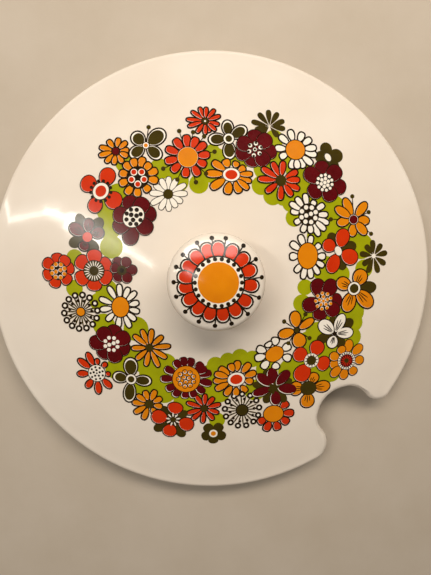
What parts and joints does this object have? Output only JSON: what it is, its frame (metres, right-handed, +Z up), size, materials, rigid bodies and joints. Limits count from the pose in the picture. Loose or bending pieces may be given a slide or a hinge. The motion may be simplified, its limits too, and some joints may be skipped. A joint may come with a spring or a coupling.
{
  "type": "pot lid",
  "caption": "Round glazed stoneware lid with a ladle notch, a locating flange and a screwed-on mushroom knob, printed with a wreath of retro flowers.",
  "frame": {"origin": "on the lid's axis, at the lower edge of the locating flange, which the lid rests on", "axes": "+Z up along the lid's axis towards the knob; the ladle notch points 46 degrees from +X towards -Y"},
  "size_m": [0.24, 0.24, 0.0585],
  "materials": {
    "white_glaze": "opaque white glaze on stoneware, glossy",
    "wreath_print": "fired printed transfer in lime, olive, vermilion, ochre and maroon with dark outlines",
    "knob_print": "fired printed transfer in ochre and vermilion with dark outlines",
    "gasket_rubber": "moulded silicone rubber, matt",
    "insert_brass": "turned",
    "cement": "set grout, rough",
    "stainless": "bright stainless steel"
  },
  "bodies": {
    "lid": {"lid": "white_glaze", "inner_gasket": "gasket_rubber", "steel_washer": "stainless", "spring_washer": "stainless", "knob_screw": "stainless", "wreath_transfer": "wreath_print"},
    "foot_gasket": {"foot_gasket": "gasket_rubber"},
    "knob": {"knob": "white_glaze", "knob_insert": "insert_brass", "insert_cement": "cement", "knob_transfer": "knob_print"}
  },
  "joints": [
    {"name": "knob_rise", "type": "slide", "parent": "lid", "child": "foot_gasket", "axis": [0, 0, 1], "range_m": [0, 0.007]},
    {"name": "knob_turn", "type": "hinge", "parent": "foot_gasket", "child": "knob", "pos_m": [0, 0, 0.03], "axis": [0, 0, 1], "range_deg": [0, 3150]}
  ],
  "couplings": [
    {"joint": "knob_rise", "follows": "knob_turn", "m_per_rad": 0.00012732}
  ]
}
